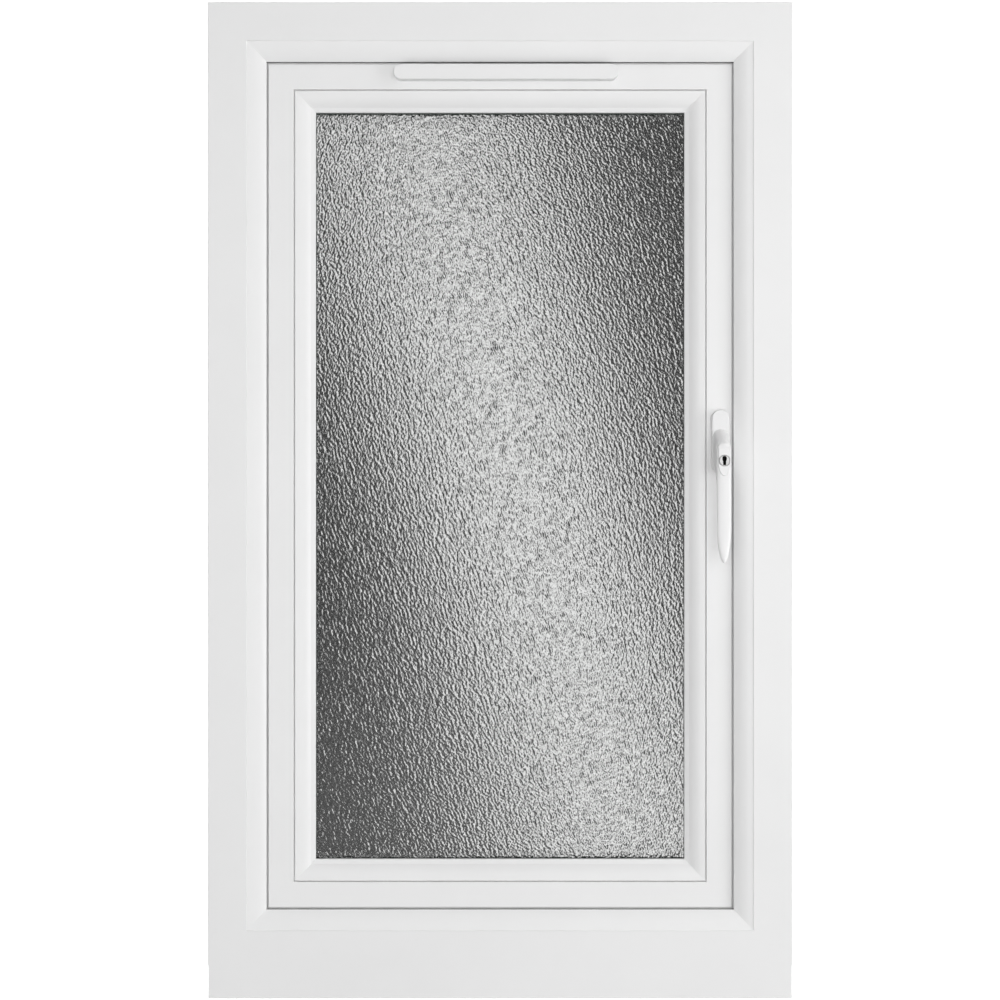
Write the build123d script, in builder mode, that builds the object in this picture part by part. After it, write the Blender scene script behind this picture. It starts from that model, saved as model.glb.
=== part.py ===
from build123d import *
import math
import os

# Side-hung casement window: an outer frame on a stub cill, an outward opening
# sash hung on the left, a sealed double glazed unit behind four clip-in beads,
# a trickle vent on the sash's top rail and a locking lever handle on the right.
# Millimetres. +Z up, the room side faces -Y, outdoors is +Y, +X is to the right
# as seen from the room. The origin is the centre of the cill's flat underside.

# ---------------------------------------------------------------- dimensions
WIDTH = 610.0          # overall width of the outer frame
HEIGHT = 1040.0        # underside of the cill to the top of the frame
CILL_H = 35.0          # height of the cill's room-side face
SEAT = 4.0             # the frame's foot is planed off this much, where the cill takes it
FRAME_D = 70.0         # depth of the outer frame
CILL_D = 85.0          # depth of the cill, nose included
CAP_T = 2.0            # thickness of the cill's end caps
CILL_V = 0.6           # the cill's room face lies this much behind the frame's
CILL_INSET = 0.5       # the capped cill stops this much short of each jamb face

# Depths are counted from the room face of the frame (v), widths from the
# outside perimeter of the frame towards the glass (u).
YF = -CILL_D / 2       # y of the frame's room face

FLAT_U = 40.3          # flat room face of the frame
STEP_V = 0.9           # quirk between the flat and the ovolo
LEG_U = 60.0           # inner edge of the frame's leg
LEG_V0 = 8.5           # depth of the ovolo at the leg's edge
LEG_V1 = 10.2          # back of the leg
REBATE_U = 40.0        # rebate wall, where the hardware runs
GROOVE_D = 2.2         # add-on channels round the frame's perimeter

SASH_V = 12.0          # room face of the sash
SASH_EDGE_U = 61.6     # outer edge of the sash's room face, past the shadow gap
SASH_SEAT_V = 15.5     # bottom of the shadow gap, where the seal lies
SASH_U = 52.0          # hidden edge of the sash
SASH_FLAT_U = 88.2     # inner edge of the sash's flat, which is its glazing rebate
SASH_OUT = 84.0        # outdoor face of the sash
FLANGE_U = 32.0        # outer edge of the sash's weather flange
FLANGE_V = 73.0        # back of the weather flange
SIGHT_U = 110.4        # sight line of the glass in the room
SIGHT_OUT_U = 104.5    # sight line of the glass outdoors

BEAD_U = 89.3          # bead, past its 1.1 mm joint with the sash
BEAD_V = 12.5          # room face of the bead at the joint
LIP_U = 105.6          # start of the bead's soft lip
LIP_V = 19.5
BEAD_BACK = 24.4       # back of the bead, on the gasket

PANE_T = 4.0           # each pane of the sealed unit
PANE_V = 26.0          # room face of the inner pane
UNIT_T = 28.0          # 4-20-4 sealed unit
UNIT_U = 93.0          # edge of the sealed unit
SPACER_U = 103.0       # inner edge of the spacer bar

# Handle, on the middle of the right-hand stile
HX = 230.8
HZ = 586.2             # pivot height
BASE_L = 66.8
BASE_W = 18.6
BASE_T = 8.5
BASE_Z = 581.8
HUB_R = 8.2            # half the width of the lever's body where it meets the plate
DRAFT = 2.0            # degrees, the body narrows towards the room
LEVER_GAP = 0.3
LEVER_OUT = 36.5       # projection of the lever's front from the sash
GRIP_T = 9.4           # thickness of the grip
CROWN_D = 2.6          # depth of the grip's crown, an ellipse across its full width
BACK_D = 6.0           # depth over which the grip's back is rounded
ELBOW_Z = 575.0        # height where the front starts to turn in to the plate
ELBOW_R = 6.0          # radius of that bend
ELBOW_A = 60.0         # degrees that it turns through, then it runs straight
BODY_Z = 547.6         # lowest point of the body at the plate
TONGUE_T = 0.9         # the tongue round the lock stands proud of the lever
TONGUE_W = 6.3         # half its width
TONGUE_TOP = 576.0
TONGUE_C = 557.5       # height where it starts to narrow
TONGUE_Z = 545.0       # its lower end
TIP_Z = 455.5          # tip of the grip
TIP_C = 496.0          # where the grip starts to narrow to its tip
LOCK_Z = 561.0
LOCK_R = 5.2
LOCK_GAP = 0.7         # dark ring round the barrel
PIVOT_R = 6.0

# Trickle vent
VENT_L = 235.0
VENT_H = 15.7
VENT_T = 9.6
VENT_X = 6.2
VENT_Z = 968.4

Z0 = CILL_H - SEAT     # where the outer frame's perimeter would end
Z1 = HEIGHT            # top of the outer frame
XH = WIDTH / 2
FH = Z1 - Z0

# Section planes: local x is the depth v, local y is the width u towards the glass
HEAD = Plane(origin=(XH, YF, Z1), x_dir=(0, 1, 0), z_dir=(-1, 0, 0))
FOOT = Plane(origin=(-XH, YF, Z0), x_dir=(0, 1, 0), z_dir=(1, 0, 0))
LEFT = Plane(origin=(-XH, YF, Z1), x_dir=(0, 1, 0), z_dir=(0, 0, -1))
RIGHT = Plane(origin=(XH, YF, Z0), x_dir=(0, 1, 0), z_dir=(0, 0, 1))

# The mitre planes of the four corners, one per corner and side kept
TL, TR = (-XH, YF, Z1), (XH, YF, Z1)
BL, BR = (-XH, YF, Z0), (XH, YF, Z0)
HEAD_CUTS = (Plane(origin=TL, z_dir=(1, 0, 1)), Plane(origin=TR, z_dir=(-1, 0, 1)))
FOOT_CUTS = (Plane(origin=BL, z_dir=(1, 0, -1)), Plane(origin=BR, z_dir=(-1, 0, -1)))
LEFT_CUTS = (Plane(origin=TL, z_dir=(-1, 0, -1)), Plane(origin=BL, z_dir=(-1, 0, 1)))
RIGHT_CUTS = (Plane(origin=TR, z_dir=(1, 0, -1)), Plane(origin=BR, z_dir=(1, 0, 1)))
SEAT_CUT = Plane(origin=(0, 0, CILL_H), z_dir=(0, 0, 1))


# ---------------------------------------------------------------- sections
def soften(corners, radius):
    """Round the corners of the section that lie nearest to these points."""
    fillet([vertices().sort_by_distance((v, u, 0))[0] for v, u in corners], radius=radius)


def bulge(start, end, angle):
    """The middle of the arc from start to end that turns through angle degrees."""
    half = math.radians(angle / 2)
    dv, du = end[0] - start[0], end[1] - start[1]
    rise = (1 - math.cos(half)) / (2 * math.sin(half))
    return ((start[0] + end[0]) / 2 - du * rise, (start[1] + end[1]) / 2 + dv * rise)


def frame_section():
    """Outer frame: flat face, quirk, ovolo, leg over the sash, rebate, add-on channels."""
    foot, nose = (STEP_V, FLAT_U + 0.3), (LEG_V0, LEG_U - 0.5)
    with BuildLine() as outline:
        Polyline((0.0, FLAT_U), (0.0, 0.0), (14.0, 0.0), (14.0, GROOVE_D), (20.0, GROOVE_D),
                 (20.0, 0.0), (50.0, 0.0), (50.0, GROOVE_D), (56.0, GROOVE_D), (56.0, 0.0),
                 (FRAME_D, 0.0), (FRAME_D, REBATE_U), (LEG_V1, REBATE_U), (LEG_V1, LEG_U),
                 (LEG_V0 + 0.45, LEG_U), nose)
        ThreePointArc(nose, bulge(foot, nose, 38), foot)
        Line(foot, (0.0, FLAT_U))
    make_face(outline.edges())
    soften([(0.0, 0.0), (FRAME_D, 0.0)], 0.8)
    soften([(0.0, FLAT_U), (LEG_V1, LEG_U), (LEG_V0 + 0.45, LEG_U)], 0.3)


def sash_section():
    """Sash: room face, shadow gap, glazing rebate, outdoor ovolo leg, weather flange."""
    top, toe = (SASH_OUT, 88.6), (62.4, SIGHT_OUT_U)
    with BuildLine() as outline:
        Polyline(toe, (PANE_V + UNIT_T + 3.0, SIGHT_OUT_U), (PANE_V + UNIT_T + 3.0, SASH_FLAT_U),
                 (SASH_V, SASH_FLAT_U), (SASH_V, SASH_EDGE_U), (SASH_SEAT_V, SASH_EDGE_U),
                 (SASH_SEAT_V, SASH_U), (FLANGE_V, SASH_U), (FLANGE_V, FLANGE_U),
                 (SASH_OUT, FLANGE_U), top, (SASH_OUT - 0.9, 89.0))
        ThreePointArc((SASH_OUT - 0.9, 89.0), (75.6, 99.3), toe)
    make_face(outline.edges())
    soften([(SASH_V, SASH_FLAT_U), (SASH_V, SASH_EDGE_U)], 0.5)
    soften([(SASH_OUT, FLANGE_U), (FLANGE_V, FLANGE_U), toe], 0.8)


def bead_section():
    """Glazing bead: ovolo face and soft lip against the glass, foot in the rebate."""
    crown, lip = (BEAD_V, BEAD_U + 0.4), (LIP_V, LIP_U)
    with BuildLine() as outline:
        Line((BEAD_V + 0.5, BEAD_U), crown)
        ThreePointArc(crown, bulge(crown, lip, 42), lip)
        Polyline(lip, (21.6, SIGHT_U), (BEAD_BACK, SIGHT_U), (BEAD_BACK, SASH_FLAT_U),
                 (16.0, SASH_FLAT_U), (16.0, BEAD_U), (BEAD_V + 0.5, BEAD_U))
    make_face(outline.edges())
    soften([(21.6, SIGHT_U)], 0.9)
    soften([crown], 0.4)


# ---------------------------------------------------------------- outer frame
with BuildPart() as frame_head:
    with BuildSketch(HEAD):
        frame_section()
    extrude(amount=WIDTH)
    split(bisect_by=HEAD_CUTS[0], keep=Keep.TOP)
    split(bisect_by=HEAD_CUTS[1], keep=Keep.TOP)

with BuildPart() as frame_bottom:
    with BuildSketch(FOOT):
        frame_section()
    extrude(amount=WIDTH)
    split(bisect_by=FOOT_CUTS[0], keep=Keep.TOP)
    split(bisect_by=FOOT_CUTS[1], keep=Keep.TOP)
    split(bisect_by=SEAT_CUT, keep=Keep.TOP)

with BuildPart() as frame_jamb_left:
    with BuildSketch(LEFT):
        frame_section()
    extrude(amount=FH)
    split(bisect_by=LEFT_CUTS[0], keep=Keep.TOP)
    split(bisect_by=LEFT_CUTS[1], keep=Keep.TOP)
    split(bisect_by=SEAT_CUT, keep=Keep.TOP)

with BuildPart() as frame_jamb_right:
    with BuildSketch(RIGHT):
        frame_section()
    extrude(amount=FH)
    split(bisect_by=RIGHT_CUTS[0], keep=Keep.TOP)
    split(bisect_by=RIGHT_CUTS[1], keep=Keep.TOP)
    split(bisect_by=SEAT_CUT, keep=Keep.TOP)

# ---------------------------------------------------------------- sash
with BuildPart() as sash_top_rail:
    with BuildSketch(HEAD):
        sash_section()
    extrude(amount=WIDTH)
    split(bisect_by=HEAD_CUTS[0], keep=Keep.TOP)
    split(bisect_by=HEAD_CUTS[1], keep=Keep.TOP)

with BuildPart() as sash_bottom_rail:
    with BuildSketch(FOOT):
        sash_section()
    extrude(amount=WIDTH)
    split(bisect_by=FOOT_CUTS[0], keep=Keep.TOP)
    split(bisect_by=FOOT_CUTS[1], keep=Keep.TOP)

with BuildPart() as sash_stile_left:
    with BuildSketch(LEFT):
        sash_section()
    extrude(amount=FH)
    split(bisect_by=LEFT_CUTS[0], keep=Keep.TOP)
    split(bisect_by=LEFT_CUTS[1], keep=Keep.TOP)

with BuildPart() as sash_stile_right:
    with BuildSketch(RIGHT):
        sash_section()
    extrude(amount=FH)
    split(bisect_by=RIGHT_CUTS[0], keep=Keep.TOP)
    split(bisect_by=RIGHT_CUTS[1], keep=Keep.TOP)

# ---------------------------------------------------------------- beads
with BuildPart() as bead_top:
    with BuildSketch(HEAD):
        bead_section()
    extrude(amount=WIDTH)
    split(bisect_by=HEAD_CUTS[0], keep=Keep.TOP)
    split(bisect_by=HEAD_CUTS[1], keep=Keep.TOP)

with BuildPart() as bead_bottom:
    with BuildSketch(FOOT):
        bead_section()
    extrude(amount=WIDTH)
    split(bisect_by=FOOT_CUTS[0], keep=Keep.TOP)
    split(bisect_by=FOOT_CUTS[1], keep=Keep.TOP)

with BuildPart() as bead_left:
    with BuildSketch(LEFT):
        bead_section()
    extrude(amount=FH)
    split(bisect_by=LEFT_CUTS[0], keep=Keep.TOP)
    split(bisect_by=LEFT_CUTS[1], keep=Keep.TOP)

with BuildPart() as bead_right:
    with BuildSketch(RIGHT):
        bead_section()
    extrude(amount=FH)
    split(bisect_by=RIGHT_CUTS[0], keep=Keep.TOP)
    split(bisect_by=RIGHT_CUTS[1], keep=Keep.TOP)

# ---------------------------------------------------------------- sealed unit
ZC = (Z0 + Z1) / 2


def ring(u_out, u_in, extra=0.0):
    """A rectangular ring between two distances from the frame's perimeter; extra
    makes its top and bottom members wider towards the glass."""
    Rectangle(WIDTH - 2 * u_out, FH - 2 * u_out)
    Rectangle(WIDTH - 2 * u_in, FH - 2 * (u_in + extra), mode=Mode.SUBTRACT)


def upright(v):
    """The upright plane at depth v, its normal pointing outdoors."""
    return Plane(origin=(0, YF + v, ZC), x_dir=(-1, 0, 0), z_dir=(0, 1, 0))


with BuildPart() as glass_inner_pane:
    with BuildSketch(upright(PANE_V)):
        Rectangle(WIDTH - 2 * UNIT_U, FH - 2 * UNIT_U)
    extrude(amount=PANE_T)

with BuildPart() as glass_outer_pane:
    with BuildSketch(upright(PANE_V + UNIT_T - PANE_T)):
        Rectangle(WIDTH - 2 * UNIT_U, FH - 2 * UNIT_U)
    extrude(amount=PANE_T)

with BuildPart() as glass_spacer:
    with BuildSketch(upright(PANE_V + PANE_T)):
        ring(UNIT_U + 0.5, SPACER_U)
    extrude(amount=UNIT_T - 2 * PANE_T)

# ---------------------------------------------------------------- gaskets
with BuildPart() as glazing_gasket_inner:
    with BuildSketch(upright(BEAD_BACK)):
        Rectangle(WIDTH - 2 * 98.0, FH - 2 * 98.0)
        with Locations((0, -0.4)):
            Rectangle(WIDTH - 2 * (SIGHT_U + 0.3), FH - 2 * (SIGHT_U + 0.8), mode=Mode.SUBTRACT)
    extrude(amount=PANE_V - BEAD_BACK)

with BuildPart() as glazing_gasket_outer:
    with BuildSketch(upright(PANE_V + UNIT_T)):
        ring(98.0, SIGHT_OUT_U + 0.3)
    extrude(amount=3.0)

with BuildPart() as frame_seal_inner:
    with BuildSketch(upright(LEG_V1)):
        ring(53.0, 58.6, 0.8)
    extrude(amount=SASH_SEAT_V - LEG_V1)

with BuildPart() as frame_seal_outer:
    with BuildSketch(upright(FRAME_D)):
        ring(33.4, 38.6)
    extrude(amount=FLANGE_V - FRAME_D)

# ---------------------------------------------------------------- cill
CILL_L = WIDTH - 2 * CILL_INSET - 2 * CAP_T


def cill_section():
    """Stub cill: square room side, level seat, sloped weathering, dropped nose."""
    with BuildLine() as outline:
        Polyline((CILL_V, 0.0), (76.0, 0.0), (76.0, 3.0), (80.0, 3.0), (80.0, 0.0),
                 (CILL_D, 0.0), (CILL_D, 27.4), (FRAME_D + 1.5, 31.0), (FRAME_D, CILL_H),
                 (CILL_V, CILL_H), (CILL_V, 0.0))
    make_face(outline.edges())
    soften([(CILL_D, 27.4)], 3.0)
    soften([(CILL_D, 0.0)], 1.2)
    soften([(CILL_V, 0.0)], 0.35)


with BuildPart() as cill:
    with BuildSketch(Plane(origin=(-CILL_L / 2, YF, 0), x_dir=(0, 1, 0), z_dir=(1, 0, 0))):
        cill_section()
    extrude(amount=CILL_L)

with BuildPart() as cill_end_cap_left:
    with BuildSketch(Plane(origin=(-CILL_L / 2 - CAP_T, YF, 0), x_dir=(0, 1, 0), z_dir=(1, 0, 0))):
        cill_section()
    extrude(amount=CAP_T)

with BuildPart() as cill_end_cap_right:
    with BuildSketch(Plane(origin=(CILL_L / 2, YF, 0), x_dir=(0, 1, 0), z_dir=(1, 0, 0))):
        cill_section()
    extrude(amount=CAP_T)

# ---------------------------------------------------------------- trickle vent
with BuildPart() as vent_cover:
    with BuildSketch(Plane(origin=(VENT_X, YF + SASH_V, VENT_Z), x_dir=(1, 0, 0), z_dir=(0, -1, 0))):
        SlotOverall(VENT_L, VENT_H)
    extrude(amount=VENT_T)
    fillet(vent_cover.faces().sort_by(Axis.Y)[0].edges(), radius=0.5)
    # air outlet along its top
    with BuildSketch(Plane(origin=(VENT_X, YF + SASH_V - 4.4, VENT_Z + VENT_H / 2),
                           x_dir=(1, 0, 0), z_dir=(0, 0, 1))):
        SlotOverall(VENT_L - VENT_H - 2.0, 6.8)
    extrude(amount=-11.0, mode=Mode.SUBTRACT)

CANOPY_D = 13.0        # projection of the canopy outdoors
with BuildPart() as vent_canopy:
    with BuildSketch(Plane(origin=(VENT_X - VENT_L / 2, YF + SASH_OUT, VENT_Z),
                           x_dir=(0, 1, 0), z_dir=(1, 0, 0))):
        with BuildLine():
            Polyline((0.0, 10.0), (0.0, -10.0), (CANOPY_D, -10.0), (CANOPY_D, -2.0))
            ThreePointArc((CANOPY_D, -2.0), (CANOPY_D - 3.2, 5.9), (4.0, 10.0))
            Line((4.0, 10.0), (0.0, 10.0))
        make_face()
    extrude(amount=VENT_L)
    fillet(vent_canopy.faces().sort_by(Axis.X)[0].edges().filter_by(Axis.Y, reverse=True), radius=0.6)
    fillet(vent_canopy.faces().sort_by(Axis.X)[-1].edges().filter_by(Axis.Y, reverse=True), radius=0.6)
    # the hollow that the air passes through, open below
    with BuildSketch(Plane(origin=(VENT_X, YF + SASH_OUT + 2.0 + (CANOPY_D - 4.0) / 2, VENT_Z - 10.0),
                           x_dir=(1, 0, 0), z_dir=(0, 0, 1))):
        Rectangle(VENT_L - 5.0, CANOPY_D - 4.0)
    extrude(amount=9.0, mode=Mode.SUBTRACT)

# ---------------------------------------------------------------- handle
with BuildPart() as handle_base:
    with BuildSketch(Plane(origin=(HX, YF + SASH_V, BASE_Z), x_dir=(1, 0, 0), z_dir=(0, -1, 0))):
        SlotOverall(BASE_L, BASE_W, rotation=90)
    extrude(amount=BASE_T)
    fillet(handle_base.faces().sort_by(Axis.Y)[0].edges(), radius=1.3)
    with BuildSketch(Plane(origin=(HX, YF + SASH_V - BASE_T, HZ), x_dir=(1, 0, 0), z_dir=(0, -1, 0))):
        Circle(PIVOT_R + 0.05)
    extrude(amount=-5.0, mode=Mode.SUBTRACT)

NECK_Y = YF + SASH_V - BASE_T - LEVER_GAP      # y where the lever's body starts
FRONT_Y = YF + SASH_V - LEVER_OUT              # y of the lever's front face
OUT = NECK_Y - FRONT_Y                         # depth of the body


def lever_outline(half, top, low_c, low):
    """Front outline of the lever, a long slot with an elliptical lower end."""
    with BuildLine() as outline:
        EllipticalCenterArc((0, top - half), half, half, start_angle=0, arc_size=180)
        Line((-half, top - half), (-half, low_c))
        EllipticalCenterArc((0, low_c), half, low_c - low, start_angle=180, arc_size=180)
        Line((half, low_c), (half, top - half))
    make_face(outline.edges())


def at_depth(d):
    """The upright plane at depth d behind the lever's front, facing the room."""
    return Plane(origin=(HX, FRONT_Y + d, 0), x_dir=(1, 0, 0), z_dir=(0, -1, 0))


def half_width(d):
    """The lever narrows towards the room."""
    return HUB_R - (OUT - d) * math.tan(math.radians(DRAFT))


def elbow(d):
    """Height of the lever's top at depth d: a bend, then a straight slope to the plate."""
    turn = math.radians(ELBOW_A)
    bend = ELBOW_R * (1 - math.cos(turn))
    if d < bend:
        return ELBOW_Z + ELBOW_R * math.sin(math.acos(1 - d / ELBOW_R))
    return ELBOW_Z + ELBOW_R * math.sin(turn) + (d - bend) / math.tan(turn)


with BuildPart() as handle_lever:
    # the grip with its elbow: crowned front, then a rounded back
    for turn in (86, 78, 70, 62, 54, 46, 38, 30, 22, 15, 8, 0):
        inset = 1 - math.cos(math.radians(turn))
        depth = CROWN_D * (1 - math.sin(math.radians(turn)))
        with BuildSketch(at_depth(depth)):
            lever_outline(half_width(CROWN_D) * (1 - inset), elbow(depth) - 0.6 * inset,
                          TIP_C, TIP_Z + 4.5 * inset)
    for turn in (15, 30, 45, 60, 75, 90):
        inset = 1 - math.cos(math.radians(turn))
        depth = GRIP_T - BACK_D * (1 - math.sin(math.radians(turn)))
        with BuildSketch(at_depth(depth)):
            lever_outline(half_width(CROWN_D) - 4.2 * inset, elbow(depth) - 2.4 * inset,
                          TIP_C, TIP_Z + 5.0 * inset)
    loft(ruled=True)
    # the body that carries it over the plate
    for depth, low in ((6.0, 534.0), (7.7, 534.9), (9.4, 536.5), (10.7, 538.6), (12.0, 541.0),
                       (14.0, 543.6), (16.0, 545.2), (18.5, 546.3), (21.0, 547.0), (OUT, BODY_Z)):
        with BuildSketch(at_depth(depth)):
            lever_outline(half_width(depth), elbow(depth), low + 12.0, low)
    loft(ruled=True)
    # pivot stub in the base plate
    with BuildSketch(Plane(origin=(HX, NECK_Y, HZ), x_dir=(1, 0, 0), z_dir=(0, 1, 0))):
        Circle(PIVOT_R)
    extrude(amount=LEVER_GAP + 4.0)
    # raised tongue round the lock, with sloped edges
    for depth, inset, top in ((3.0, 0.0, TONGUE_TOP), (0.2, 0.0, TONGUE_TOP),
                              (-TONGUE_T, 0.8, TONGUE_TOP - 3.0)):
        half = TONGUE_W - inset
        with BuildSketch(at_depth(depth)):
            with BuildLine():
                Polyline((-half, TONGUE_C), (-half, top), (half, top), (half, TONGUE_C))
                EllipticalCenterArc((0, TONGUE_C), half, TONGUE_C - TONGUE_Z - inset,
                                    start_angle=180, arc_size=180)
            make_face()
    loft(ruled=True)
    # seat of the lock barrel
    with BuildSketch(Plane(origin=(HX, FRONT_Y - 2.0, LOCK_Z), x_dir=(1, 0, 0), z_dir=(0, 1, 0))):
        Circle(LOCK_R + LOCK_GAP)
    extrude(amount=8.0, mode=Mode.SUBTRACT)

LOCK_Y = FRONT_Y - TONGUE_T - 0.3              # y of the barrel's face
with BuildPart() as lock_barrel:
    with BuildSketch(Plane(origin=(HX, FRONT_Y + 6.0, LOCK_Z), x_dir=(1, 0, 0), z_dir=(0, -1, 0))):
        Circle(LOCK_R)
    extrude(amount=FRONT_Y + 6.0 - LOCK_Y)
    fillet(lock_barrel.faces().sort_by(Axis.Y)[0].edges(), radius=0.4)
    with BuildSketch(Plane(origin=(HX, LOCK_Y, LOCK_Z), x_dir=(1, 0, 0), z_dir=(0, -1, 0))):
        with Locations((0, 1.9)):
            SlotOverall(5.8, 4.5, rotation=90)
        with Locations((0, -1.9)):
            Rectangle(3.1, 5.2)
    extrude(amount=-4.2, mode=Mode.SUBTRACT)

# ---------------------------------------------------------------- write
PIECES = {
    "frame_head": frame_head,
    "frame_bottom": frame_bottom,
    "frame_jamb_left": frame_jamb_left,
    "frame_jamb_right": frame_jamb_right,
    "sash_top_rail": sash_top_rail,
    "sash_bottom_rail": sash_bottom_rail,
    "sash_stile_left": sash_stile_left,
    "sash_stile_right": sash_stile_right,
    "bead_top": bead_top,
    "bead_bottom": bead_bottom,
    "bead_left": bead_left,
    "bead_right": bead_right,
    "glass_inner_pane": glass_inner_pane,
    "glass_outer_pane": glass_outer_pane,
    "glass_spacer": glass_spacer,
    "glazing_gasket_inner": glazing_gasket_inner,
    "glazing_gasket_outer": glazing_gasket_outer,
    "frame_seal_inner": frame_seal_inner,
    "frame_seal_outer": frame_seal_outer,
    "cill": cill,
    "cill_end_cap_left": cill_end_cap_left,
    "cill_end_cap_right": cill_end_cap_right,
    "vent_cover": vent_cover,
    "vent_canopy": vent_canopy,
    "handle_base": handle_base,
    "handle_lever": handle_lever,
    "lock_barrel": lock_barrel,
}

os.makedirs("parts", exist_ok=True)
for piece_name, piece in PIECES.items():
    piece.part.label = piece_name
    export_step(piece.part, f"parts/{piece_name}.step")
    print(piece_name, round(piece.part.volume, 1), len(piece.part.solids()), piece.part.is_valid)
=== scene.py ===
import bpy, math
import numpy as np
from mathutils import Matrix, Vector


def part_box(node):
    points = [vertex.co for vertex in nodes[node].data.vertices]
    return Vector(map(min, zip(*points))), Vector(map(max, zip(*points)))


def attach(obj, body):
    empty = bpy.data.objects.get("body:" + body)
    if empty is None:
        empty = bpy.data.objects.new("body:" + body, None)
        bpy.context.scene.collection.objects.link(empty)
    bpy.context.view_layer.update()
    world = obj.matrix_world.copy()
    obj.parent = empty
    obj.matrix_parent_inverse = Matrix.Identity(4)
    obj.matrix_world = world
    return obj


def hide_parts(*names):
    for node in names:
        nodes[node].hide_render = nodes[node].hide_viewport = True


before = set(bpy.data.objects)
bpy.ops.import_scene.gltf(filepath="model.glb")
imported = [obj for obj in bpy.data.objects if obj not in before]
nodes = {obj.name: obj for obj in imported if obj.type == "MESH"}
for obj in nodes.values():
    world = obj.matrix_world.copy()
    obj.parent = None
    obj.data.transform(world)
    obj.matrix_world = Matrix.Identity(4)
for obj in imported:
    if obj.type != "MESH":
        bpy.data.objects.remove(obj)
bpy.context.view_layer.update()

# ------------------------------------------------------------------ places
YF = -0.0425            # room face of the outer frame


# ------------------------------------------------------------------ material tools
def material(name):
    m = bpy.data.materials.new(name)
    m.use_nodes = True
    nt = m.node_tree
    nt.nodes.clear()
    out = nt.nodes.new("ShaderNodeOutputMaterial")
    bsdf = nt.nodes.new("ShaderNodeBsdfPrincipled")
    nt.links.new(bsdf.outputs["BSDF"], out.inputs["Surface"])
    return m, nt, bsdf


def node(nt, kind, **values):
    n = nt.nodes.new(kind)
    for k, v in values.items():
        if k in n.inputs:
            n.inputs[k].default_value = v
        else:
            setattr(n, k, v)
    return n


def coords(nt, scale=(1, 1, 1), rotation=(0, 0, 0)):
    tc = nt.nodes.new("ShaderNodeTexCoord")
    mp = nt.nodes.new("ShaderNodeMapping")
    mp.inputs["Scale"].default_value = scale
    mp.inputs["Rotation"].default_value = rotation
    nt.links.new(tc.outputs["Object"], mp.inputs["Vector"])
    return mp.outputs["Vector"]


def give(names, m):
    for n in names:
        o = nodes[n]
        o.data.materials.clear()
        o.data.materials.append(m)


# ------------------------------------------------------------------ white plastic
def plastic(name, along, shade=0.88, rough=0.34):
    """Extruded white plastic. along is the axis that it was drawn out along."""
    m, nt, b = material(name)
    b.inputs["IOR"].default_value = 1.5
    stretch = {"x": (2.0, 260.0, 260.0), "z": (260.0, 260.0, 2.0)}[along]
    lines = node(nt, "ShaderNodeTexNoise", Scale=1.0, Detail=3.0, Roughness=0.55)
    nt.links.new(coords(nt, stretch), lines.inputs["Vector"])
    cloud = node(nt, "ShaderNodeTexNoise", Scale=9.0, Detail=4.0, Roughness=0.6)
    nt.links.new(coords(nt), cloud.inputs["Vector"])
    fine = node(nt, "ShaderNodeTexNoise", Scale=900.0, Detail=2.0, Roughness=0.6)
    nt.links.new(coords(nt), fine.inputs["Vector"])
    tint = node(nt, "ShaderNodeValToRGB")
    tint.color_ramp.elements[0].position = 0.3
    tint.color_ramp.elements[0].color = (shade * 0.985, shade * 0.985, shade * 0.985, 1)
    tint.color_ramp.elements[1].position = 0.7
    tint.color_ramp.elements[1].color = (shade * 1.01, shade * 1.01, shade * 1.01, 1)
    nt.links.new(cloud.outputs["Fac"], tint.inputs["Fac"])
    nt.links.new(tint.outputs["Color"], b.inputs["Base Color"])
    r = node(nt, "ShaderNodeMapRange")
    r.inputs["To Min"].default_value = rough - 0.05
    r.inputs["To Max"].default_value = rough + 0.07
    nt.links.new(lines.outputs["Fac"], r.inputs["Value"])
    nt.links.new(r.outputs["Result"], b.inputs["Roughness"])
    b1 = node(nt, "ShaderNodeBump", Strength=0.25, Distance=0.00006)
    nt.links.new(lines.outputs["Fac"], b1.inputs["Height"])
    b2 = node(nt, "ShaderNodeBump", Strength=0.2, Distance=0.00002)
    nt.links.new(fine.outputs["Fac"], b2.inputs["Height"])
    nt.links.new(b1.outputs["Normal"], b2.inputs["Normal"])
    nt.links.new(b2.outputs["Normal"], b.inputs["Normal"])
    return m


white_x = plastic("white_plastic_across", "x")
white_z = plastic("white_plastic_upright", "z")
give(["frame_head", "frame_bottom", "sash_top_rail", "sash_bottom_rail", "bead_top", "bead_bottom",
      "cill", "vent_canopy"], white_x)
give(["frame_jamb_left", "frame_jamb_right", "sash_stile_left", "sash_stile_right", "bead_left",
      "bead_right", "cill_end_cap_left", "cill_end_cap_right"], white_z)

paint = plastic("white_powder_coat", "z", shade=0.89, rough=0.3)
give(["handle_lever"], paint)
# painted shade: the base plate gets a darker copy of the same powder coat (0.845 against 0.89)
give(["handle_base"], plastic("white_powder_coat_base_painted_shade", "z", shade=0.845, rough=0.32))

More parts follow.
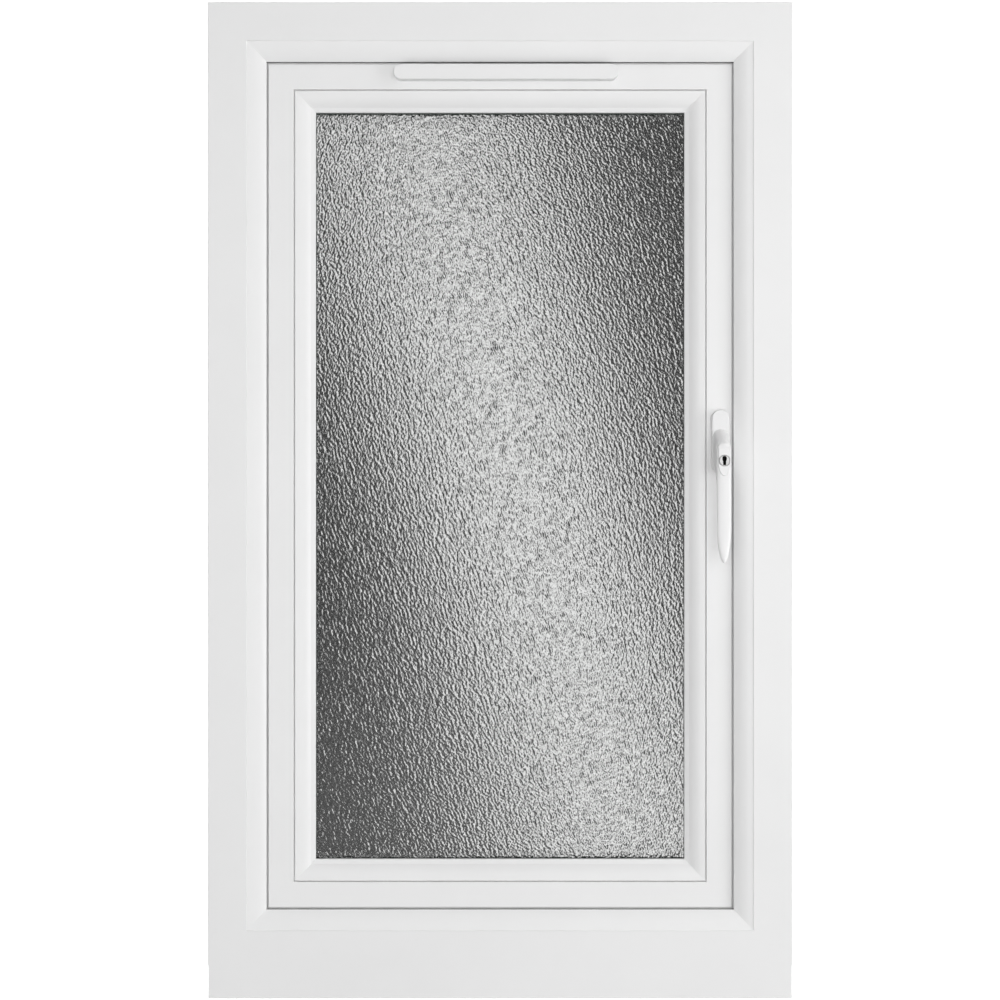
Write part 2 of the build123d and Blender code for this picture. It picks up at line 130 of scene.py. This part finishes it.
# ------------------------------------------------------------------ rubber
def rubber(name, dark, light, rough):
    """Extruded rubber: fine grain, dust bloom in patches."""
    m, nt, b = material(name)
    grain = node(nt, "ShaderNodeTexNoise", Scale=1500.0, Detail=3.0, Roughness=0.6)
    nt.links.new(coords(nt), grain.inputs["Vector"])
    bloom = node(nt, "ShaderNodeTexNoise", Scale=60.0, Detail=4.0, Roughness=0.65)
    nt.links.new(coords(nt), bloom.inputs["Vector"])
    ramp = node(nt, "ShaderNodeValToRGB")
    ramp.color_ramp.elements[0].position, ramp.color_ramp.elements[1].position = 0.3, 0.75
    ramp.color_ramp.elements[0].color = dark + (1,)
    ramp.color_ramp.elements[1].color = light + (1,)
    nt.links.new(bloom.outputs["Fac"], ramp.inputs["Fac"])
    nt.links.new(ramp.outputs["Color"], b.inputs["Base Color"])
    r = node(nt, "ShaderNodeMapRange")
    r.inputs["To Min"].default_value = rough - 0.08
    r.inputs["To Max"].default_value = rough + 0.1
    nt.links.new(bloom.outputs["Fac"], r.inputs["Value"])
    nt.links.new(r.outputs["Result"], b.inputs["Roughness"])
    bump = node(nt, "ShaderNodeBump", Strength=0.4, Distance=0.00004)
    nt.links.new(grain.outputs["Fac"], bump.inputs["Height"])
    nt.links.new(bump.outputs["Normal"], b.inputs["Normal"])
    return m


give(["glazing_gasket_inner", "glazing_gasket_outer"],
     rubber("gasket_rubber", (0.034, 0.044, 0.038), (0.052, 0.066, 0.058), 0.55))
give(["frame_seal_inner", "frame_seal_outer"],
     rubber("seal_rubber_grey", (0.13, 0.13, 0.13), (0.19, 0.19, 0.19), 0.6))

# ------------------------------------------------------------------ metal
m, nt, b = material("spacer_aluminium")
b.inputs["Metallic"].default_value = 1.0
sepc = nt.nodes.new("ShaderNodeSeparateXYZ")
nt.links.new(coords(nt), sepc.inputs["Vector"])


def smath(op, *args):
    """A math node of the tree nt; numbers and sockets both go in."""
    n = nt.nodes.new("ShaderNodeMath")
    n.operation = op
    for i, v in enumerate(args):
        if isinstance(v, (int, float)):
            n.inputs[i].default_value = v
        else:
            nt.links.new(v, n.inputs[i])
    return n.outputs[0]


# two rows of small breathing slots, 4 mm apart, on the faces that look inwards, painted near-black as
# their shade
run = smath("ADD", sepc.outputs["X"], sepc.outputs["Z"])
slot = smath("LESS_THAN", smath("PINGPONG", run, 0.002), 0.0009)
row = smath("LESS_THAN", smath("ABSOLUTE", smath("SUBTRACT", smath("ABSOLUTE",
            smath("SUBTRACT", sepc.outputs["Y"], YF + 0.040)), 0.0035)), 0.00045)
slot_shade_mask = smath("MULTIPLY", slot, row)
brushed = node(nt, "ShaderNodeTexNoise", Scale=1.0, Detail=3.0, Roughness=0.6)
nt.links.new(coords(nt, (90.0, 2400.0, 90.0)), brushed.inputs["Vector"])
ramp = node(nt, "ShaderNodeValToRGB")
ramp.color_ramp.elements[0].color = (0.52, 0.53, 0.54, 1)
ramp.color_ramp.elements[1].color = (0.68, 0.69, 0.70, 1)
nt.links.new(brushed.outputs["Fac"], ramp.inputs["Fac"])
# painted shade: the slots are coloured near-black
slot_shade_mix = node(nt, "ShaderNodeMix", data_type="RGBA")
nt.links.new(slot_shade_mask, slot_shade_mix.inputs["Factor"])
nt.links.new(ramp.outputs["Color"], slot_shade_mix.inputs[6])
slot_shade_mix.inputs[7].default_value = (0.03, 0.03, 0.03, 1)
nt.links.new(slot_shade_mix.outputs[2], b.inputs["Base Color"])
r = node(nt, "ShaderNodeMapRange")
r.inputs["To Min"].default_value = 0.28
r.inputs["To Max"].default_value = 0.45
nt.links.new(brushed.outputs["Fac"], r.inputs["Value"])
nt.links.new(r.outputs["Result"], b.inputs["Roughness"])
bump = node(nt, "ShaderNodeBump", Strength=0.6, Distance=0.00003)
nt.links.new(brushed.outputs["Fac"], bump.inputs["Height"])
nt.links.new(bump.outputs["Normal"], b.inputs["Normal"])
give(["glass_spacer"], m)

# vent cover: the same plastic, with near-black painted shade inside the air outlet along its top
vent = plastic("white_plastic_vent", "x")
nt = vent.node_tree
b = next(n for n in nt.nodes if n.type == "BSDF_PRINCIPLED")
sepc = nt.nodes.new("ShaderNodeSeparateXYZ")
nt.links.new(nt.nodes.new("ShaderNodeTexCoord").outputs["Object"], sepc.inputs["Vector"])


def within(value, middle, half):
    """1 where the value is nearer to the middle than half."""
    return smath("LESS_THAN", smath("ABSOLUTE", smath("SUBTRACT", value, middle)), half)


# painted shade: the air outlet's box is coloured near-black
painted_outlet_shade = smath("MULTIPLY", within(sepc.outputs["X"], 0.0062, 0.1092),
               smath("MULTIPLY", within(sepc.outputs["Y"], YF + 0.0076, 0.00346),
                     within(sepc.outputs["Z"], 0.9705, 0.0054)))
shade_in = node(nt, "ShaderNodeMix", data_type="RGBA")
nt.links.new(painted_outlet_shade, shade_in.inputs["Factor"])
nt.links.new(b.inputs["Base Color"].links[0].from_socket, shade_in.inputs[6])
shade_in.inputs[7].default_value = (0.015, 0.015, 0.015, 1)
nt.links.new(shade_in.outputs[2], b.inputs["Base Color"])
give(["vent_cover"], vent)

# lock barrel: bright satin face with fine turning marks, near-black painted shade inside the keyway
LOCK_X, LOCK_Z, LOCK_FACE = 0.2308, 0.561, -0.0682
m, nt, b = material("lock_bright_metal")
b.inputs["Metallic"].default_value = 0.25
place = nt.nodes.new("ShaderNodeTexCoord").outputs["Object"]
sepc = nt.nodes.new("ShaderNodeSeparateXYZ")
nt.links.new(place, sepc.inputs["Vector"])
dx = smath("SUBTRACT", sepc.outputs["X"], LOCK_X)
dz = smath("SUBTRACT", sepc.outputs["Z"], LOCK_Z)
radius = smath("SQRT", smath("ADD", smath("MULTIPLY", dx, dx), smath("MULTIPLY", dz, dz)))
rings = node(nt, "ShaderNodeTexNoise", Scale=1.0, Detail=3.0, Roughness=0.6, noise_dimensions="1D")
nt.links.new(smath("MULTIPLY", radius, 9000.0), rings.inputs["W"])
ramp = node(nt, "ShaderNodeValToRGB")
ramp.color_ramp.elements[0].color = (0.84, 0.84, 0.84, 1)
ramp.color_ramp.elements[1].color = (0.93, 0.93, 0.93, 1)
nt.links.new(rings.outputs["Fac"], ramp.inputs["Fac"])
# painted shade: behind the barrel's face, within the keyway's radius, the colour is near-black
keyway_shade_mask = smath("MULTIPLY", smath("GREATER_THAN", sepc.outputs["Y"], LOCK_FACE + 0.0006),
             smath("LESS_THAN", radius, 0.0051))
keyway_shade_mix = node(nt, "ShaderNodeMix", data_type="RGBA")
nt.links.new(keyway_shade_mask, keyway_shade_mix.inputs["Factor"])
nt.links.new(ramp.outputs["Color"], keyway_shade_mix.inputs[6])
keyway_shade_mix.inputs[7].default_value = (0.004, 0.004, 0.004, 1)
nt.links.new(keyway_shade_mix.outputs[2], b.inputs["Base Color"])
r = node(nt, "ShaderNodeMapRange")
r.inputs["To Min"].default_value = 0.3
r.inputs["To Max"].default_value = 0.42
nt.links.new(rings.outputs["Fac"], r.inputs["Value"])
nt.links.new(r.outputs["Result"], b.inputs["Roughness"])
bump = node(nt, "ShaderNodeBump", Strength=0.4, Distance=0.00002)
nt.links.new(rings.outputs["Fac"], bump.inputs["Height"])
nt.links.new(bump.outputs["Normal"], b.inputs["Normal"])
give(["lock_barrel"], m)

# ------------------------------------------------------------------ glass
STROKE = math.radians(24)        # the strokes lean this much, top to the left


def glass(name, colour, rough):
    m, nt, b = material(name)
    b.inputs["Base Color"].default_value = colour + (1,)
    b.inputs["Transmission Weight"].default_value = 1.0
    b.inputs["Roughness"].default_value = rough
    b.inputs["IOR"].default_value = 1.5
    return m, nt, b


# the rolled pane: strokes pressed into its room face (relief in the mesh, finer
# grain in the bump), a faint greenish tint in the mass
BUMP_D = 0.0010
m, nt, b = glass("obscure_glass", (0.94, 0.942, 0.94), 0.0)
b.inputs["Specular IOR Level"].default_value = 0.25
ripple = node(nt, "ShaderNodeTexNoise", Scale=1.0, Detail=0.0, Roughness=0.5)
nt.links.new(coords(nt, (460.0, 60.0, 380.0), (0, -STROKE, 0)), ripple.inputs["Vector"])
bump = node(nt, "ShaderNodeBump", Strength=1.0, Distance=BUMP_D)
nt.links.new(ripple.outputs["Fac"], bump.inputs["Height"])
nt.links.new(bump.outputs["Normal"], b.inputs["Normal"])
give(["glass_inner_pane"], m)
obscure = m

m, nt, b = glass("clear_glass", (0.957, 0.96, 0.957), 0.0)
b.inputs["Specular IOR Level"].default_value = 0.25
wave = node(nt, "ShaderNodeTexNoise", Scale=14.0, Detail=1.0)
nt.links.new(coords(nt), wave.inputs["Vector"])
bump = node(nt, "ShaderNodeBump", Strength=0.1, Distance=0.00002)
nt.links.new(wave.outputs["Fac"], bump.inputs["Height"])
nt.links.new(bump.outputs["Normal"], b.inputs["Normal"])
give(["glass_outer_pane"], m)


def rolled_pane():
    """The inner pane with the rolled strokes as relief in its room face. It is cut
    inwards from the flat pane's face, so it keeps the pane's box."""
    lo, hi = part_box("glass_inner_pane")
    gx0, gx1, gz0, gz1 = -0.1945, 0.1945, 0.1424, 0.9286
    nx, nz = 320, 298                       # cells across and up
    dx, dz = (gx1 - gx0) / nx, (gz1 - gz0) / nz
    # stroke noise: white noise filtered in the strokes' own directions
    rng = np.random.RandomState(11)
    white = rng.standard_normal((nz + 1, nx + 1))
    kx = 2 * np.pi * np.fft.fftfreq(nx + 1, dx)[None, :]
    kz = 2 * np.pi * np.fft.fftfreq(nz + 1, dz)[:, None]
    across = kx * math.cos(STROKE) + kz * math.sin(STROKE)
    along = -kx * math.sin(STROKE) + kz * math.cos(STROKE)
    width, length = RELIEF_W, RELIEF_L
    power = (across * width) ** 2 * np.exp(-(across * width) ** 2) * np.exp(-(along * length) ** 2)
    h = np.real(np.fft.ifft2(np.fft.fft2(white) * np.sqrt(power)))
    slope = np.diff(h, axis=1) / dx
    h *= RELIEF_SLOPE / slope.std()
    # the pattern dies out under the gasket, at the mean depth of the strokes
    i = np.arange(nx + 1)[None, :] * dx
    k = np.arange(nz + 1)[:, None] * dz
    edge = np.minimum(np.minimum(i, (gx1 - gx0) - i), np.minimum(k, (gz1 - gz0) - k))
    h *= np.clip(edge / 0.0022, 0, 1)
    cut = h.max() - h
    xs = np.broadcast_to(gx0 + i, h.shape)
    zs = np.broadcast_to(gz0 + k, h.shape)
    verts = np.stack([xs, lo[1] + cut, zs], axis=-1).reshape(-1, 3)
    idx = np.arange((nx + 1) * (nz + 1)).reshape(nz + 1, nx + 1)
    a, bq, c, d = idx[:-1, :-1].ravel(), idx[:-1, 1:].ravel(), idx[1:, 1:].ravel(), idx[1:, :-1].ravel()
    # each cell is split along the strokes, from its upper left to its lower right
    tris = np.concatenate([np.stack([a, bq, d], 1), np.stack([bq, c, d], 1)])
    faces = tris.tolist()
    # flat margin under the beads, edges and back
    ring = np.concatenate([idx[0, :], idx[1:, -1], idx[-1, -2::-1], idx[-2:0:-1, 0]])
    flat = verts[ring]
    sx = (hi[0] - lo[0]) / (gx1 - gx0)
    sz = (hi[2] - lo[2]) / (gz1 - gz0)
    cz, cz2 = (gz0 + gz1) / 2, (lo[2] + hi[2]) / 2
    rim = np.stack([flat[:, 0] * sx, np.full(len(ring), lo[1]), (flat[:, 2] - cz) * sz + cz2], 1)
    back = rim.copy()
    back[:, 1] = hi[1]
    n0, n1, p = len(verts), len(verts) + len(ring), len(ring)
    for q in range(p):
        w = (q + 1) % p
        faces.append((ring[q], n0 + q, n0 + w, ring[w]))
        faces.append((n0 + q, n1 + q, n1 + w, n0 + w))
    faces.append(tuple(range(n1 + p - 1, n1 - 1, -1)))
    faces = [tuple(int(v) for v in f) for f in faces]
    me = bpy.data.meshes.new("obscure_pane")
    me.from_pydata(np.concatenate([verts, rim, back]).tolist(), [], faces)
    me.update()
    smooth = np.zeros(len(me.polygons), bool)
    smooth[:len(tris)] = True
    me.polygons.foreach_set("use_smooth", smooth)
    me.materials.append(obscure)
    o = bpy.data.objects.new("obscure_pane", me)
    bpy.context.scene.collection.objects.link(o)
    return o


RELIEF_SLOPE = 0.20             # rms slope of the relief, across the pane
RELIEF_W, RELIEF_L = 0.0005, 0.0007
pane = rolled_pane()
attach(pane, "root")
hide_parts("glass_inner_pane")

# ------------------------------------------------------------------ floor
# plain and pale; seen directly only, so the same soft light reaches the part from below
bpy.ops.mesh.primitive_plane_add(size=12, location=(0, 0, 0))
floor = bpy.context.object
floor.name = "floor"
m, nt, b = material("floor_white")
b.inputs["Base Color"].default_value = (0.9, 0.9, 0.9, 1)
b.inputs["Roughness"].default_value = 0.9
b.inputs["Emission Color"].default_value = (1, 1, 1, 1)
b.inputs["Emission Strength"].default_value = 0.9
floor.data.materials.append(m)
floor.visible_transmission = False
floor.visible_glossy = False
floor.visible_diffuse = False
floor.visible_shadow = False

# ------------------------------------------------------------------ world
world = bpy.data.worlds.new("studio")
bpy.context.scene.world = world
world.use_nodes = True
nt = world.node_tree
nt.nodes.clear()
out = nt.nodes.new("ShaderNodeOutputWorld")
lp = nt.nodes.new("ShaderNodeLightPath")
tc = nt.nodes.new("ShaderNodeTexCoord")
sep = nt.nodes.new("ShaderNodeSeparateXYZ")
nt.links.new(tc.outputs["Generated"], sep.inputs["Vector"])

# outdoors, seen through the glass: soft bright bands that slant from the upper
# left to the lower right, one of them straight behind the window
PERIOD, BAND_W, BAND_AT = 0.56, 0.0445, 0.017
BAND_LOW, BAND_HIGH, GROUND = 0.045, 0.93, 0.04
ay = smath("ABSOLUTE", sep.outputs["Y"])
az = smath("ARCTAN2", sep.outputs["X"], ay)
el = smath("ARCSINE", sep.outputs["Z"])
u = smath("SUBTRACT", smath("ADD", smath("MULTIPLY", az, 0.9586), smath("MULTIPLY", el, 0.2847)), BAND_AT)
u = smath("SUBTRACT", u, smath("MULTIPLY", smath("ROUND", smath("DIVIDE", u, PERIOD)), PERIOD))
g = smath("DIVIDE", u, BAND_W)
g = smath("EXPONENT", smath("MULTIPLY", smath("MULTIPLY", g, g), -0.5))
low = nt.nodes.new("ShaderNodeMapRange")        # and a paler ground below
low.interpolation_type = "SMOOTHSTEP"
low.inputs["From Min"].default_value, low.inputs["From Max"].default_value = 0.03, 0.22
low.inputs["To Min"].default_value, low.inputs["To Max"].default_value = 0.0, GROUND
nt.links.new(smath("MULTIPLY", el, -1.0), low.inputs["Value"])
level = smath("ADD", smath("ADD", smath("MULTIPLY", g, BAND_HIGH), BAND_LOW), low.outputs["Result"])

WHITE = (1, 1, 1, 1)
bg_seen = node(nt, "ShaderNodeBackground", Color=WHITE, Strength=1.1)
bg_soft = node(nt, "ShaderNodeBackground", Strength=1.0)


def more(socket, strength):
    """Light that grows from nothing to this strength with one coordinate of the direction."""
    return smath("MULTIPLY", smath("MAXIMUM", socket, 0.0), strength)


# the studio's soft light: on the room side a little from everywhere and more from the
# left, above and below, outdoors an even sky
minus_x, minus_z = (smath("MULTIPLY", sep.outputs[k], -1.0) for k in ("X", "Z"))
indoors = smath("ADD", smath("ADD", 0.192, more(minus_x, 0.165)),
                smath("ADD", more(sep.outputs["Z"], 0.054), more(minus_z, 0.103)))
outdoors = smath("ADD", 0.42, more(sep.outputs["Z"], 0.35))
side = smath("LESS_THAN", sep.outputs["Y"], 0.0)
soft = smath("ADD", smath("MULTIPLY", side, indoors),
             smath("MULTIPLY", smath("SUBTRACT", 1.0, side), outdoors))
nt.links.new(soft, bg_soft.inputs["Color"])
bg_gloss = node(nt, "ShaderNodeBackground", Strength=1.0)
dark = nt.nodes.new("ShaderNodeMapRange")       # mirrored in the glass: a dark room behind
dark.interpolation_type = "SMOOTHSTEP"
dark.inputs["From Min"].default_value, dark.inputs["From Max"].default_value = 0.70, 0.93
dark.inputs["To Min"].default_value, dark.inputs["To Max"].default_value = 0.37, 0.055
nt.links.new(smath("MULTIPLY", sep.outputs["Y"], -1.0), dark.inputs["Value"])
nt.links.new(dark.outputs["Result"], bg_gloss.inputs["Color"])
bg_glass = node(nt, "ShaderNodeBackground", Strength=1.0)
nt.links.new(level, bg_glass.inputs["Color"])


def choose(ray, other, chosen):
    """other, but chosen for rays of this kind."""
    mix = nt.nodes.new("ShaderNodeMixShader")
    nt.links.new(lp.outputs[ray], mix.inputs[0])
    nt.links.new(other, mix.inputs[1])
    nt.links.new(chosen, mix.inputs[2])
    return mix.outputs[0]


sky = choose("Is Glossy Ray", bg_soft.outputs[0], bg_gloss.outputs[0])
sky = choose("Is Transmission Ray", sky, bg_glass.outputs[0])
sky = choose("Is Camera Ray", sky, bg_seen.outputs[0])
nt.links.new(sky, out.inputs["Surface"])


# ------------------------------------------------------------------ lights
def area(name, loc, target, size, energy):
    """A soft rectangular studio light that faces its target."""
    l = bpy.data.lights.new(name, "AREA")
    l.shape = "RECTANGLE"
    l.size, l.size_y = size
    l.energy = energy
    o = bpy.data.objects.new(name, l)
    bpy.context.scene.collection.objects.link(o)
    o.location = loc
    o.rotation_mode = "QUATERNION"
    o.rotation_quaternion = (Vector(target) - Vector(loc)).to_track_quat("-Z", "Y")
    o.visible_camera = False
    return o


MID = Vector((0, -0.04, 0.52))


def around(azimuth, height=0.0, reach=2.5):
    """A place on the room side, azimuth degrees to the right and height degrees up."""
    a, e = math.radians(azimuth), math.radians(height)
    return MID + reach * Vector((math.sin(a) * math.cos(e), -math.cos(a) * math.cos(e), math.sin(e)))


front = area("light_front", (0, -2.6, 0.52), MID, (2.2, 2.2), 30.7)
near = area("light_right_near", around(20), MID, (0.65, 2.0), 5.6)
area("light_right", around(65), MID, (0.65, 2.0), 22.6)
left = area("light_left", around(-35), MID, (0.8, 2.0), 4.9)
area("light_top_right", around(50, 45), MID, (0.9, 0.9), 4.3)
for light in (front, near, left):   # the room behind the camera looks dark in the glass
    light.visible_glossy = False
    light.visible_transmission = False

# ------------------------------------------------------------------ camera
D = 1.74
cam_data = bpy.data.cameras.new("camera")
cam_data.sensor_width = 36.0
cam_data.lens = 0.9585 * D * 36.0
cam = bpy.data.objects.new("camera", cam_data)
bpy.context.scene.collection.objects.link(cam)
cam.location = (-0.0001, YF - D, 0.5205)
cam.rotation_euler = (math.radians(90), 0, 0)
cam_data.clip_start, cam_data.clip_end = 0.05, 50
bpy.context.scene.camera = cam

vs = bpy.context.scene.view_settings
vs.view_transform = "Standard"
vs.look = "None"
vs.exposure = 0.0
vs.gamma = 1.0
